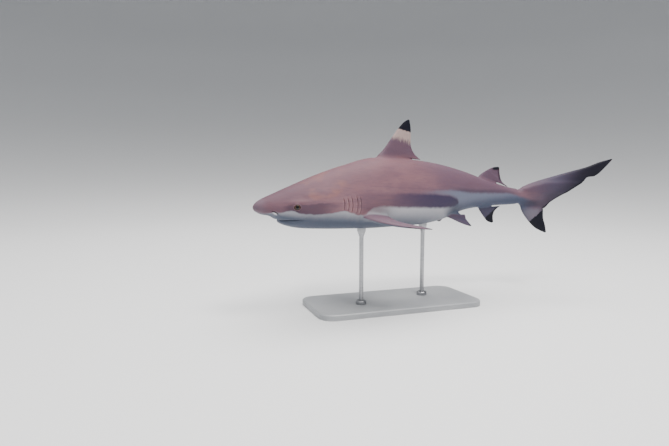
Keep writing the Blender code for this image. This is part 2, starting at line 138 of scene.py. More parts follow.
fins = {
    "firstDorsal": {
        "front": (
            (30.4, 9.6), (31.6, 11.1), (33.1, 12.5), (35.8, 15.6), (37.5, 17.6), (39.3, 19.3),
            (40.6, 19.95),
        ),
        "rear": (
            (41.4, 9.4), (41.8, 10.55), (44.3, 10.25), (42.2, 12.1), (41.35, 14.3), (41.35, 17.2),
            (40.95, 19.75),
        ),
        "thick": 1.15,
        "rows": 60,
    },
    "secondDorsal": {
        "front": ((62.0, 5.6), (63.2, 6.65), (65.0, 7.7), (66.6, 8.35), (68.2, 8.55)),
        "rear": ((67.0, 3.6), (67.8, 4.45), (71.0, 3.3), (69.4, 4.7), (68.8, 6.3), (68.55, 8.35)),
        "thick": 0.62,
        "rows": 44,
    },
    "anal": {
        "front": ((62.2, -1.4), (62.9, -2.6), (64.3, -4.5), (65.5, -5.8), (66.8, -6.3)),
        "rear": ((66.2, -1.0), (66.7, -2.0), (69.0, -1.85), (67.6, -3.1), (67.1, -4.6), (67.25, -6.1)),
        "thick": 0.6,
        "rows": 40,
    },
    "upperLobe": {
        "front": (
            (74.0, 2.0), (75.2, 3.1), (77.5, 4.15), (82.8, 5.8), (88.1, 7.3), (92.4, 8.5),
            (95.7, 9.8), (98.7, 10.65),
        ),
        "rear": (
            (75.6, -0.6), (81.15, -2.6), (83.1, -0.9), (88.3, 2.35), (91.8, 4.8), (92.6, 5.7),
            (94.6, 6.1), (97.5, 8.8), (98.9, 10.5),
        ),
        "thick": 1.7,
        "rows": 90,
    },
    "lowerLobe": {
        "front": ((74.0, -0.9), (74.7, -1.6), (75.3, -3.2), (77.2, -5.9), (79.3, -7.9), (82.0, -9.2)),
        "rear": ((76.4, 1.0), (81.15, -2.5), (81.35, -5.2), (81.9, -7.0), (82.3, -9.0)),
        "thick": 1.1,
        "rows": 50,
    },
}
pairedFins = {
    # tailward and outward from the front of the fin's base, in the fin's own plane
    "pectoral": {
        "front": ((-0.1, -1.6), (0.0, 0.0), (1.2, 3.0), (3.3, 6.8), (6.4, 10.2), (9.8, 12.95)),
        "rear": (
            (5.0, -1.6), (5.6, 0.3), (7.9, 1.3), (7.8, 3.8), (8.3, 7.2), (9.5, 10.4), (10.2, 12.75),
        ),
        "thick": 1.25,
        "rows": 64,
        "at": (22.4, 5.2, -2.25),
        "droop": 15.0,
        "pitch": 4.6,
        "curl": 1.7,
        "twist": 0.13,
        "rootLift": 0.3,
    },
    "pelvic": {
        "front": ((-0.1, -1.4), (0.0, 0.0), (1.5, 1.9), (3.3, 3.5), (4.7, 4.25)),
        "rear": ((3.9, -1.4), (4.1, 0.0), (5.5, 0.2), (5.1, 1.9), (5.15, 4.1)),
        "thick": 0.6,
        "rows": 40,
        "at": (50.6, 3.1, -3.6),
        "droop": 36.0,
        "pitch": 1.0,
        "curl": 0.0,
        "twist": 0.0,
        "rootLift": 0.3,
    },
}
finMake = {
    "columns": 22,  # across a fin, on each side
    "edge": 0.0007,  # thickness of the edges, in metres
    "fullWidth": 0.87,
    "rootSpan": 0.4,
    "flare": 0.55,  # how much thicker the blade gets where it meets the body
    "flareReach": 0.45,
    "blend": 0.010,  # how far from a fin's root the skin is smoothed, in metres
    "blendPasses": 24,
}


def smoothCurve(points, column, at):
    # a curve through the points that makes no humps between them
    x, y = points[:, 0], points[:, column]
    step = np.diff(x)
    slope = np.diff(y) / step
    tangent = np.concatenate([slope[:1], (slope[1:] + slope[:-1]) / 2, slope[-1:]])
    for i in range(1, len(x) - 1):
        limit = 3 * min(abs(slope[i - 1]), abs(slope[i]))
        turns = slope[i - 1] * slope[i] <= 0
        tangent[i] = 0.0 if turns else math.copysign(min(abs(tangent[i]), limit), tangent[i])
    at = np.clip(at, x[0], x[-1])
    i = np.clip(np.searchsorted(x, at) - 1, 0, len(x) - 2)
    t = (at - x[i]) / step[i]
    ends = (1 + 2 * t) * (1 - t) ** 2 * y[i] + t * t * (3 - 2 * t) * y[i + 1]
    return ends + step[i] * t * (1 - t) * ((1 - t) * tangent[i] - t * tangent[i + 1])


def backLine():
    places = np.arange(0, 101, 0.25)
    heading = np.radians(smoothCurve(np.array(swim["headings"], float), 1, places))
    step = 0.25 * np.stack([np.cos(heading), np.sin(heading)], axis=1)
    path = np.concatenate([[[0, 0]], np.cumsum((step[1:] + step[:-1]) / 2, axis=0)])
    path -= [np.interp(swim["balancePlace"], places, path[:, k]) for k in (0, 1)]
    return places, heading, path


backPlaces, backHeading, backPath = backLine()
sectionTable = np.array(body["sections"])
sectionTable[:, 0] = np.sqrt(sectionTable[:, 0])


def backAt(place):
    # which way the back runs at a place, and where it is there
    heading, x, y = (np.interp(place, backPlaces, v) for v in (backHeading, *backPath.T))
    return heading, x, y


def toWorld(spots):
    # body coordinates (place, out, level) to metres
    place, out, level = spots.T
    heading, x, y = backAt(place)
    x, y = x + out * np.sin(heading), y - out * np.cos(heading)
    return np.stack([x * percent, y * percent, level * percent + swim["snoutHeight"]], axis=1)


def toBody(points):
    # metres to body coordinates, by the nearest cross-section
    flat = points[:, :2] / percent
    along = np.stack([np.cos(backHeading), np.sin(backHeading)], axis=1)
    place = np.empty(len(flat))
    for start in range(0, len(flat), 4096):
        part = flat[start : start + 4096]
        offset = part[:, None, :] - backPath[None, :, :]
        nearest = (offset**2).sum(2).argmin(1)
        ahead = (offset[np.arange(len(part)), nearest] * along[nearest]).sum(1)
        place[start : start + 4096] = backPlaces[nearest] + ahead
    for _ in range(4):
        heading, x, y = backAt(place)
        offset = flat - np.stack([x, y], axis=1)
        place = place + offset[:, 0] * np.cos(heading) + offset[:, 1] * np.sin(heading)
    out = offset[:, 0] * np.sin(heading) - offset[:, 1] * np.cos(heading)
    level = (points[:, 2] - swim["snoutHeight"]) / percent
    return np.stack([place, out, level], axis=1)


def sectionAt(place):
    along = np.sqrt(np.clip(place, 0, 81))
    return [smoothCurve(sectionTable, k, along) for k in range(1, 7)]


def softMin(a, b, reach):
    share = np.clip(0.5 + 0.5 * (b - a) / reach, 0, 1)
    return b + (a - b) * share - reach * share * (1 - share)


def softMax(a, b, reach):
    return -softMin(-a, -b, reach)


def rampUp(value, low, high):
    t = np.clip((value - low) / (high - low), 0, 1)
    return t * t * (3 - 2 * t)


def hump(value, middle, spread):
    return np.exp(-(((value - middle) / spread) ** 2))


def toSegment(spots, a, b):
    # distance to the straight line between two spots
    a, b = np.array(a, float), np.array(b, float)
    along = np.clip(((spots - a) @ (b - a)) / ((b - a) @ (b - a)), 0, 1)
    return np.linalg.norm(spots - a - along[:, None] * (b - a), axis=1)


def mirrored(spots):
    # both sides of the shark are worked out as its left
    return np.stack([spots[:, 0], np.abs(spots[:, 1]), spots[:, 2]], axis=1)


def plainBody(spots):
    # distance out of the bare cross-sections
    place, out, level = spots.T
    top, bottom, half, middle, above, below = sectionAt(place)
    rise = level - middle
    tall = np.where(rise >= 0, top - middle, middle - bottom)
    full = np.where(rise >= 0, above, below)
    size = ((np.abs(out) / half) ** full + (np.abs(rise) / tall) ** full) ** (1 / full)
    return (size - 1) * np.hypot(out, rise) / np.maximum(size, 1e-6)


def mouthParts(spots):
    # distance ahead of the jaw's arch, seen from below, and the mouth's level
    place, out, _ = spots.T
    reach = mouth["corner"] - mouth["front"]
    half = mouth["cornerHalf"]
    ahead = mouth["front"] + reach * (out / half) ** 2 - place
    ahead = ahead / np.hypot(1, 2 * reach * out / half**2)
    slope = (mouth["cornerLevel"] - mouth["frontLevel"]) / reach
    return ahead, mouth["frontLevel"] + slope * (place - mouth["front"])


def withMouth(spots):
    # the snout overhangs an arched lower jaw, with a groove between them
    whole = plainBody(spots)
    ahead, level = mouthParts(spots)
    upper = softMax(whole, level - spots[:, 2], mouth["lipRound"])
    lower = softMax(whole, ahead, mouth["lipRound"])
    made = softMin(upper, lower, 0.10)
    front, corner = mouth["cleft"]
    cleft = front + (corner - front) * rampUp(spots[:, 0], mouth["front"], mouth["corner"])
    made = softMax(made, cleft - np.hypot(ahead, spots[:, 2] - level), 0.06)
    fade = rampUp(spots[:, 0], *mouth["closed"])
    return made * (1 - fade) + whole * fade


def lidRing(spots):
    # 1 on the edge of the eye's opening, less inside, more outside
    halfLong, halfTall = eye["opening"]
    return np.hypot((spots[:, 0] - eye["place"]) / halfLong, (spots[:, 2] - eye["level"]) / halfTall)


def plainBodyEdge(place, level):
    # how far out the bare sections reach at a level
    outs = np.linspace(0, 9, 1801)
    spots = np.stack([np.full(len(outs), place), outs, np.full(len(outs), level)], axis=1)
    return outs[np.argmin(np.abs(plainBody(spots)))]


def leftEye():
    # middle of the left eyeball, and the way it looks: square to the head's side
    skin = plainBodyEdge(eye["place"], eye["level"])
    spot = np.array([[eye["place"], skin, eye["level"]]])
    steps = np.eye(3) * 0.3
    lean = np.array([(plainBody(spot + step) - plainBody(spot - step))[0] for step in steps])
    lean *= eye["turn"]
    lean /= np.linalg.norm(lean)
    return spot[0] - lean * (eye["radius"] - eye["proud"]) / percent, lean


eyeMiddle, eyeLean = leftEye()


def withLids(spots, made):
    # lids wrap the ball all round its opening
    ball = np.linalg.norm(spots - eyeMiddle, axis=1) - (eye["radius"] + eye["lidThick"]) / percent
    return np.where(spots[:, 0] < 11, softMin(made, ball, eye["lidBlend"]), made)


def lidRelief(spots):
    # a sunk socket, a fold outside the lids and a brow over the eye
    place, _, level = spots.T
    ring = lidRing(spots)
    socket = 1 - rampUp(ring, 0.92, 1.02)
    fold = hump(ring, 1.62, 0.14) * (0.55 + 0.45 * rampUp(eye["level"] - level, 0.0, 0.5))
    along = rampUp(place, 4.8, 7.0) * (1 - rampUp(place, 10.0, 14.5))
    over = level - eye["browSlope"] * (place - eye["place"]) - eye["level"]
    brow = hump(over, 1.10, 0.40) - 0.5 * hump(over, 0.45, 0.32) * rampUp(ring, 1.3, 1.7)
    return eye["browHeight"] * brow * along - eye["foldDepth"] * fold - eye["socketDepth"] * socket


def nostrilParts(spots):
    # seen from the side: distance to the slit's bowed line, share along it, and how far below it
    start, end = (np.array(spot) for spot in nostril["ends"])
    way = end - start
    length = np.linalg.norm(way)
    offset = spots[:, [0, 2]] - start
    along = offset @ way / length**2
    below = (offset @ np.array([way[1], -way[0]])) / length
    below = below + nostril["bow"] * np.sin(np.clip(along, 0, 1) * math.pi)
    past = (along - np.clip(along, 0, 1)) * length
    return np.hypot(below, past), np.clip(along, 0, 1), below


def nostrilRelief(spots):
    # a slanting slit with a soft flap standing over it from below
    near, along, below = nostrilParts(spots)
    ends = np.sin(np.clip(along, 0.05, 0.95) * math.pi) ** 0.5
    pit = -nostril["depth"] * hump(near, 0, nostril["radius"]) * ends
    edge = 0.05 * hump(near, 0.24, 0.10) * ends
    flap = rampUp(below, 0.02, 0.12) * np.exp(-np.maximum(below, 0) / 0.30) * hump(along, 0.55, 0.26)
    return pit + edge + nostril["flap"] * flap


def gillParts(spots):
    # for the nearest slit: how far behind it, and how much of the slit is here
    place, _, level = spots.T
    best = np.full(len(spots), 9.0)
    share = np.zeros(len(spots))
    for at, middle, tall in gills["slits"]:
        up = (level - middle) / (tall / 2)
        behind = place - (at - gills["bow"] * up**2)
        nearer = np.abs(behind) < np.abs(best)
        best = np.where(nearer, behind, best)
        share = np.where(nearer, 1 - rampUp(np.abs(up), 0.78, 1.08), share)
    return best, share


def gillRelief(spots):
    # each slit is a step down behind a thin flap
    behind, share = gillParts(spots)
    flap = np.where(behind < 0, np.exp(behind / gills["flapLength"]), np.exp(-behind / 0.05))
    return share * (gills["flap"] * flap - gills["depth"] * hump(behind, 0.05, gills["width"]))


def formRelief(spots):
    # cheek and temple, the furrow at the mouth's corner, and the notches before the tail fin
    place, _, level = spots.T
    made = -forms["furrowDepth"] * hump(toSegment(spots, *forms["furrow"]), 0, forms["furrowWidth"])
    for height, middle, long, middleLevel, tall in forms["swells"]:
        made = made + height * hump(place, middle, long) * hump(level, middleLevel, tall)
    for depth, middle, long, start, full in forms["notches"]:
        made = made - depth * hump(place, middle, long) * rampUp(level, start, full)
    return made


def bodyDistance(spots):
    left = mirrored(spots)
    relief = lidRelief(left) * (left[:, 0] < 12)
    relief = relief + nostrilRelief(left) * (left[:, 0] < 8)
    relief = relief + gillRelief(left) * (left[:, 0] > 15) * (left[:, 0] < 25)
    return withLids(left, withMouth(left)) - relief - formRelief(left)


def outToSkin(spots):
    # moves each spot out or in, square to the backbone, until it lies on the skin
    middle = np.stack([spots[:, 0], np.zeros(len(spots)), sectionAt(spots[:, 0])[3]], axis=1)
    way = spots - middle
    way[:, 0] = 0
    way /= np.maximum(np.linalg.norm(way, axis=1), 1e-9)[:, None]
    low, high = np.zeros(len(spots)), np.full(len(spots), 14.0)
    for _ in range(26):
        reach = (low + high) / 2
        inside = bodyDistance(middle + way * reach[:, None]) < 0
        low, high = np.where(inside, reach, low), np.where(inside, high, reach)
    return middle + way * ((low + high) / 2)[:, None]


def ringPlaces():
    places = [body["noseEnd"]]
    while places[-1] < 1.2:
        places.append(places[-1] * 1.22 + 0.004)
    for end, step in body["ringSteps"]:
        count = max(1, round((end - places[-1]) / step))
        places += list(np.linspace(places[-1], end, count + 1)[1:])
    return np.array(places)


def vertexArray(tools):
    return np.array([vertex.co[:] for vertex in tools.verts])


def placeVertices(tools, points):
    for vertex, point in zip(tools.verts, points):
        vertex.co = point


def nearDetail(spots, closeness):
    # whether each spot is close enough to a fine form to need smaller faces
    left = mirrored(spots)
    ahead, level = mouthParts(left)
    place = left[:, 0]
    atMouth = np.hypot(ahead, left[:, 2] - level) < 0.55 * closeness
    atMouth &= (place > 5.0) & (place < 10.2) & (closeness > 0.3)
    atEye = np.abs(lidRing(left) - 1.0) < 0.72 * closeness
    atEye &= left[:, 1] > 2
    near, _, _ = nostrilParts(left)
    atNostril = (near < 0.6 * closeness) & (left[:, 1] > 1.5)
    behind, share = gillParts(left)
    atGill = (np.abs(behind - 0.02) < 0.22 * closeness) & (share > 0.02) & (left[:, 1] > 2)
    atGill &= closeness > 0.3
    return atMouth | atEye | atNostril | atGill


def joinRings(tools, rings):
    for a, b in zip(rings[:-1], rings[1:]):
        for i in range(len(a)):
            j = (i + 1) % len(a)
            tools.faces.new((a[i], a[j], b[j], b[i]))


def makeBody():
    # rings of points on the bare sections, smaller faces near fine forms, all moved to the skin
    angle = 2 * math.pi * np.arange(body["ringPoints"]) / body["ringPoints"]
    tools = bmesh.new()
    rings = []
    for place in ringPlaces():
        top, bottom, half, middle, _, _ = [v[0] for v in sectionAt(np.array([place]))]
        level = middle + np.where(np.sin(angle) >= 0, top - middle, middle - bottom) * np.sin(angle)
        spots = np.stack([np.full(len(angle), place), half * np.cos(angle), level], axis=1)
        rings.append([tools.verts.new(spot) for spot in spots])
    joinRings(tools, rings)
    tools.faces.new(rings[0])
    tools.faces.new(rings[-1])
    placeVertices(tools, outToSkin(vertexArray(tools)))
    for closeness in (1.0, 0.5, 0.2):
        middles = np.array([face.calc_center_median()[:] for face in tools.faces])
        chosen = nearDetail(middles, closeness)
        edges = {edge for face, near in zip(tools.faces, chosen) if near for edge in face.edges}
        bmesh.ops.subdivide_edges(tools, edges=list(edges), cuts=1, use_grid_fill=True)
        placeVertices(tools, outToSkin(vertexArray(tools)))
    placeVertices(tools, toWorld(vertexArray(tools)))
    bmesh.ops.recalc_face_normals(tools, faces=tools.faces)
    return tools


def newPiece(name, tools, material):
    mesh = bpy.data.meshes.new(name)
    tools.to_mesh(mesh)
    tools.free()
    mesh.shade_smooth()
    mesh.materials.append(material)
    piece = bpy.data.objects.new(name, mesh)
    bpy.context.scene.collection.objects.link(piece)
    return piece


def alongEdge(points, count):
    # spots evenly spaced along a smooth curve through the outline's points
    points = np.array(points, float)
    lengths = np.concatenate([[0], np.cumsum(np.linalg.norm(np.diff(points, axis=0), axis=1))])
    table = np.column_stack([lengths, points])
    at = np.linspace(0, lengths[-1], count)
    return np.stack([smoothCurve(table, 1, at), smoothCurve(table, 2, at)], axis=1)


def wingThickness(across):
    return 5 * (
        0.2969 * np.sqrt(across)
        - 0.1260 * across
        - 0.3516 * across**2
        + 0.2843 * across**3
        - 0.1036 * across**4
    )


def makeBlade(fin, lay):
    # a thin closed blade; lay turns (u, v, thickness) into body coordinates
    rows, columns = fin["rows"], finMake["columns"]
    front, rear = alongEdge(fin["front"], rows), alongEdge(fin["rear"], rows)
    across = 0.5 - 0.5 * np.cos(np.linspace(0, math.pi, columns))
    widest = np.linalg.norm(rear - front, axis=1).max()
    edge = finMake["edge"] / 2 / percent
    sides = {1: [], -1: []}
    for a, b in zip(front, rear):
        width = np.linalg.norm(b - a)
        flat = a + (b - a) * across[:, None]
        half = fin["thick"] * min(1.0, width / widest / finMake["fullWidth"]) * wingThickness(across)
        clear = plainBody(lay(flat[:, 0], flat[:, 1], np.zeros(columns)))
        half = half + finMake["flare"] * np.exp(-np.maximum(clear, 0) / finMake["flareReach"]) * (clear < 3)
        for sign, grid in sides.items():
            grid.append(lay(flat[:, 0], flat[:, 1], sign * np.maximum(half, edge)))
    tools = bmesh.new()
    made = {s: [[tools.verts.new(p) for p in toWorld(row)] for row in grid] for s, grid in sides.items()}
    for grid in made.values():
        for upper, lower in zip(grid[:-1], grid[1:]):
            for i in range(columns - 1):
                tools.faces.new((upper[i], upper[i + 1], lower[i + 1], lower[i]))
    rim = [(row, 0) for row in range(rows)]
    rim += [(rows - 1, column) for column in range(1, columns)]
    rim += [(row, columns - 1) for row in range(rows - 2, -1, -1)]
    rim += [(0, column) for column in range(columns - 2, 0, -1)]
    for (r1, c1), (r2, c2) in zip(rim, rim[1:] + rim[:1]):
        tools.faces.new((made[1][r1][c1], made[1][r2][c2], made[-1][r2][c2], made[-1][r1][c1]))
    bmesh.ops.recalc_face_normals(tools, faces=tools.faces)
    return tools


def pairedAxes(fin, side):
    # the fin's own directions in body coordinates: tailward, outward and up out of its plane
    droop, pitch = math.radians(fin["droop"]), math.radians(fin["pitch"])
    tailward = np.array([1.0, 0.0, 0.0])
    sideways = np.array([0.0, side, 0.0])
    up = np.array([0.0, 0.0, 1.0])
    span = sideways * math.cos(droop) - up * math.sin(droop)
    lift = sideways * math.sin(droop) + up * math.cos(droop)
    chord = tailward * math.cos(pitch) - lift * math.sin(pitch)
    normal = tailward * math.sin(pitch) + lift * math.cos(pitch)
    return chord, span, normal


def finBend(fin, u, v):
    # how far a paired fin rises out of its plane: the tip curls up, the rear edge twists up
    reach = v / fin["front"][-1][1]
    places, reaches = zip(*fin["front"])
    behind = u - np.interp(v, reaches, places)
    return fin["curl"] * reach**2 + fin["twist"] * np.clip(reach, 0, 1) * behind


def layPaired(fin, side):
    place, out, level = fin["at"]
    heading = backAt(place)[0]
    root = toWorld(np.array([[place, side * out, level]]))[0]
    turn = np.array([
        [math.cos(heading), math.sin(heading), 0.0],
        [math.sin(heading), -math.cos(heading), 0.0],
        [0.0, 0.0, 1.0],
    ])
    chord, span, normal = (axis @ turn for axis in pairedAxes(fin, side))

    def lay(u, v, w):
        reach = v / fin["front"][-1][1]
        atRoot = np.clip(1 - reach / finMake["rootSpan"], 0, 1) ** 2 * np.clip(u / fin["rear"][1][0], 0, 1)
        w = w + finBend(fin, u, v) + fin["rootLift"] * atRoot
        return toBody(root + percent * (u[:, None] * chord + v[:, None] * span + w[:, None] * normal))

    return lay


def applyBoolean(piece, tool, operation):
    modifier = piece.modifiers.new("join", "BOOLEAN")
    modifier.operation = operation
    modifier.solver = "EXACT"
    modifier.object = tool
    graph = bpy.context.evaluated_depsgraph_get()
    made = bpy.data.meshes.new_from_object(piece.evaluated_get(graph), depsgraph=graph)
    piece.modifiers.clear()
    old = piece.data
    piece.data = made
    bpy.data.meshes.remove(old)
    bpy.data.objects.remove(tool)


def smoothNearSeam(piece):
    # rounds the crease where a fin's faces meet the body's
    mesh = piece.data
    points = vertexPoints(mesh)
    kinds = np.zeros((len(points), 2), bool)
    for face in mesh.polygons:
        kinds[list(face.vertices), min(face.material_index, 1)] = True
    seam = np.flatnonzero(kinds.all(1))
    tree = KDTree(len(seam))
    for i, vertex in enumerate(seam):
        tree.insert(points[vertex], i)
    tree.balance()
    away = np.array([tree.find(point)[2] for point in points])
    weight = 1 - rampUp(away, finMake["blend"] * 0.25, finMake["blend"])
    edges = np.empty(len(mesh.edges) * 2, int)
    mesh.edges.foreach_get("vertices", edges)
    edges = edges.reshape(-1, 2)
    edges = edges[(weight[edges] > 0).any(1)]
    counts = np.bincount(edges.ravel(), minlength=len(points)).clip(1)
    for _ in range(finMake["blendPasses"]):
        total = np.zeros_like(points)
        np.add.at(total, edges[:, 0], points[edges[:, 1]])
        np.add.at(total, edges[:, 1], points[edges[:, 0]])
        points = points + 0.6 * weight[:, None] * (total / counts[:, None] - points)
    mesh.vertices.foreach_set("co", points.ravel())
    mesh.update()


def eyeSeat(side):
    # middle of an eyeball and the way it looks, in metres
    ends = np.stack([eyeMiddle, eyeMiddle + eyeLean])
    ends[:, 1] *= side
    ends = toWorld(ends)
    return ends[0], (ends[1] - ends[0]) / np.linalg.norm(ends[1] - ends[0])


def makeBall(radius, segments, rings):
    tools = bmesh.new()
    bmesh.ops.create_uvsphere(tools, u_segments=segments, v_segments=rings, radius=radius)
    return tools


def vertexPoints(mesh):
    points = np.empty(len(mesh.vertices) * 3)
    mesh.vertices.foreach_get("co", points)
    return points.reshape(-1, 3)


def storeVectors(mesh, name, vectors):
    layer = mesh.attributes.new(name, "FLOAT_VECTOR", "POINT")
    layer.data.foreach_set("vector", np.asarray(vectors, np.float32).ravel())


def finPlaces(points, spots):
    # x: 0 on the body to 1 on a fin; y: share of a paired fin's reach; z: above or below its plane
    made = np.zeros((len(points), 3))
    made[:, 0] = rampUp(plainBody(spots), 0.12, 0.7)
    for fin in pairedFins.values():
        for side in (1, -1):
            place, out, level = fin["at"]
            chord, span, normal = pairedAxes(fin, side)
            offset = spots - np.array([place, side * out, level])
            along, outward = offset @ chord, offset @ span
            reach = outward / fin["front"][-1][1]
            lift = offset @ normal - finBend(fin, along, outward)
            near = (reach > -0.1) & (np.abs(lift) < 2.2) & (along > -1.5) & (along < 14) & (made[:, 0] > 0)
            made[near, 1] = reach[near].clip(0, 1)
            made[near, 2] = lift[near].clip(-1, 1)
    return made


def creases(spots):
    # distances, in body units, to the nearest groove, to the pale edges, and to the eye's rim; the grooves
    # get painted shade, and the pale edges of the gill flaps and the nostril's flap a painted highlight
    left = mirrored(spots)
    place, out, level = left.T
    far = 3  # added where a line doesn't belong
    near, along, below = nostrilParts(left)
    inside = far * (1 - rampUp(out, 1.5, 2.0))
    groove = near * 2.0 + 0.09 * (1 - np.sin(along * math.pi)) + far * rampUp(place, 5.5, 6.0) + inside
    behind, share = gillParts(left)
    elsewhere = far * (1 - rampUp(place, 16.0, 16.8) + rampUp(place, 23.4, 24.0) + (out < 3))
    groove = np.minimum(groove, np.abs(behind - 0.04) * 1.2 + 0.6 * (1 - share) + elsewhere)
    # the painted shadow line under the brow, over the eye
    height, start, end = eye["browShadowLine"]
    over = level - eye["level"] - eye["browSlope"] * (place - eye["place"]) - height
    beside = np.maximum(0, start - place) + np.maximum(0, place - end)
    groove = np.minimum(groove, np.hypot(over * 0.6, beside) + 0.10 + far * (out < 2))
    # pale edges: painted highlight along the gill flaps and on the nostril's flap, and a pale fleck behind
    # the eye
    pale = np.abs(behind + 0.22) + 0.6 * (1 - share) + elsewhere
    noseFlapHighlight = np.abs(below - 0.27) * 0.9 + 0.3 * (1 - np.sin(along * math.pi)) + far * (place > 5.6)
    pale = np.minimum(pale, noseFlapHighlight + inside)
    fleck = np.hypot(place - eye["fleck"][0], level - eye["fleck"][1]) + 0.09 + far * (out < 2)
    rim = np.abs(lidRing(left) - 1.14) * 0.6 + far * (out < 2)
    return np.minimum(np.stack([groove, np.minimum(pale, fleck), rim], axis=1), 2.0)


def giveSpots(piece):
    # body coordinates that the markings are laid out in
    points = vertexPoints(piece.data)
    spots = toBody(points)
    storeVectors(piece.data, "spot", spots)
    storeVectors(piece.data, "finSpot", finPlaces(points, spots))
    storeVectors(piece.data, "crease", creases(spots))


def makeSkin(skinMaterial):
    skin = newPiece("sharkSkin", makeBody(), skinMaterial)
    print("body made:", len(skin.data.polygons), "faces")
    blades = [(fin, lambda u, v, w: np.stack([u, w, v], axis=1)) for fin in fins.values()]
    blades += [(fin, layPaired(fin, side)) for fin in pairedFins.values() for side in (1, -1)]
    skin.data.materials.append(skinMaterial)  # a second slot marks the faces that came from fins
    for fin, lay in blades:
        blade = newPiece("blade", makeBlade(fin, lay), skinMaterial)
        blade.data.materials.append(skinMaterial)
        blade.data.polygons.foreach_set("material_index", [1] * len(blade.data.polygons))
        applyBoolean(skin, blade, "UNION")
    print("fins joined:", len(skin.data.polygons), "faces")
    smoothNearSeam(skin)
    for side in (1, -1):
        socket = newPiece("socket", makeBall(eye["radius"] + eye["clearance"], 72, 48), skinMaterial)
        socket.location = eyeSeat(side)[0]
        bpy.context.view_layer.update()
        applyBoolean(skin, socket, "DIFFERENCE")
    skin.data.polygons.foreach_set("material_index", [0] * len(skin.data.polygons))
    while len(skin.data.materials) > 1:
        skin.data.materials.pop()
    skin.data.shade_smooth()
    giveSpots(skin)
    print("skin made:", len(skin.data.polygons), "faces")
    return skin


skinTones = {
    # screen colours, 0 to 255
    "back": (106, 80, 90),
    "backRosy": (126, 94, 100),
    "backWarm": (148, 100, 88),
    # the top of the back: partly its own darker colour, partly painted shade against the light from above
    "backTop": (84, 53, 63),
    "snout": (80, 58, 72),
    "noseTip": (110, 98, 110),
    # a darker zone round and behind the eye: partly its own colour, partly painted shade
    "eyeZone": (54, 43, 58),
    "band": (46, 41, 68),
    "belly": (163, 162, 168),
    # painted shade for the underside and the cheek
    "paintedBellyShade": (72, 78, 93),
    # the wedge's white, set dim and bluish as painted shade, and the painted shade it darkens to below and
    # behind
    "shadedFlankWhite": (98, 102, 120),
    "paintedFlankShade": (64, 70, 89),
    "black": (13, 13, 26),
    "cream": (158, 139, 134),
    "finGrey": (82, 66, 82),
    "tailGrey": (62, 57, 75),
    # painted shade along the tail's keel and a painted shadow line over the wedge
    "keelShade": (47, 47, 63),
    "lobePatch": (98, 94, 106),
    "pinkFin": (96, 76, 89),
    "pelvicGrey": (58, 52, 70),
    # painted shade in the grooves, and the snout's pores
    "slit": (30, 21, 30),
    "slitEdge": (160, 124, 128),
    # painted highlight on the nostril's flap
    "noseFlapHighlight": (205, 205, 208),
}
skinFinish = {
    "Roughness": 0.58,
    "Specular IOR Level": 0.16,
    "Coat Weight": 0.03,
    "Coat Roughness": 0.3,
    "Subsurface Weight": 0.06,
    "Subsurface Scale": 0.004,
}
# grain of the skin: stretch along place, out and level, then detail and roughness of the noise
skinGrain = {
    "wander": ((0.8, 0.8, 0.8), 2.0, 0.5),
    "patches": ((0.12, 0.2, 0.28), 3.0, 0.5),
    "glow": ((0.3, 0.4, 0.4), 2.0, 0.5),
    "streaks": ((0.35, 1.2, 2.6), 4.0, 0.6),
    "fringe": ((2.4, 2.0, 0.7), 4.0, 0.5),
    "jitter": ((1.6, 1.6, 1.6), 4.0, 0.6),
    "broken": ((1.4, 1.0, 1.3), 2.0, 0.5),
    "folds": ((0.65, 1.3, 1.3), 4.0, 0.55),
    "fine": ((9.0, 9.0, 9.0), 5.0, 0.7),
}
# place and level of the edges between tones on the flank
edgeLines = {
    "belly": (
        (0, -0.5), (1.0, -1.0), (2.2, -1.2), (3.0, -1.05), (3.6, -0.70), (4.5, -0.96), (5.6, -0.75),
        (6.8, -0.60), (7.8, -0.88), (8.8, -1.22), (12.1, -1.45), (15.3, -1.3), (17.7, -0.95),
        (20, -1.5), (22.5, -2.1), (24.2, -1.3), (26, -0.45), (28, -0.3), (30, -0.45), (33, -0.72),
        (38, -0.95), (41, -1.12), (46.5, -1.42), (50.9, -1.4), (52.4, -1.1),
        (53.2, -0.6), (53.6, -1.2), (55.0, -8.0), (100, -8.0),
    ),
    "bandTop": (
        (0, 3.0), (25.8, 2.54), (32.8, 2.37), (40.7, 2.12), (45.8, 1.85), (50.2, 1.36), (52.0, 0.72),
        (53.0, 0.0), (53.4, -1.0), (54.2, -8.0), (100, -8.0),
    ),
    "ridge": (
        (0, 0.6), (1.5, 1.65), (4, 2.7), (9, 4.65), (15, 6.9), (22, 8.9), (31, 10.7), (42, 10.25),
        (50, 9.2), (58, 7.3), (66, 4.7), (75, 3.0), (100, 3.0),
    ),
    "wedge": (
        (0, 3.0), (36, 2.6), (40.7, 2.87), (45.9, 2.95), (50.0, 2.9), (54.0, 2.4), (58.0, 1.98),
        (62.0, 1.85), (66.0, 1.7), (70.0, 1.6), (72.5, 1.25), (74.0, 0.75), (76.0, 0.25), (78.0, -0.4),
        (80.0, -3.0), (100, -8.0),
    ),
}
lineRange = (-10.0, 12.0)
# place and level of two spots on each straight line that marks are measured from
straightLines = {
    "cream": ((35.76, 15.6), (41.4, 14.1)),
    "dorsalBlack": ((37.97, 17.5), (41.3, 16.85)),
    "lobeBlack": ((77.43, -6.01), (80.49, -3.45)),
    "tailRear": ((81.15, -2.6), (91.8, 4.8)),
    "secondDorsal": ((67.9, 8.4), (68.7, 3.4)),
    "anal": ((64.6, -4.9), (67.4, -2.6)),
    "flankSense": ((24.0, 4.3), (74.0, 1.5)),
}
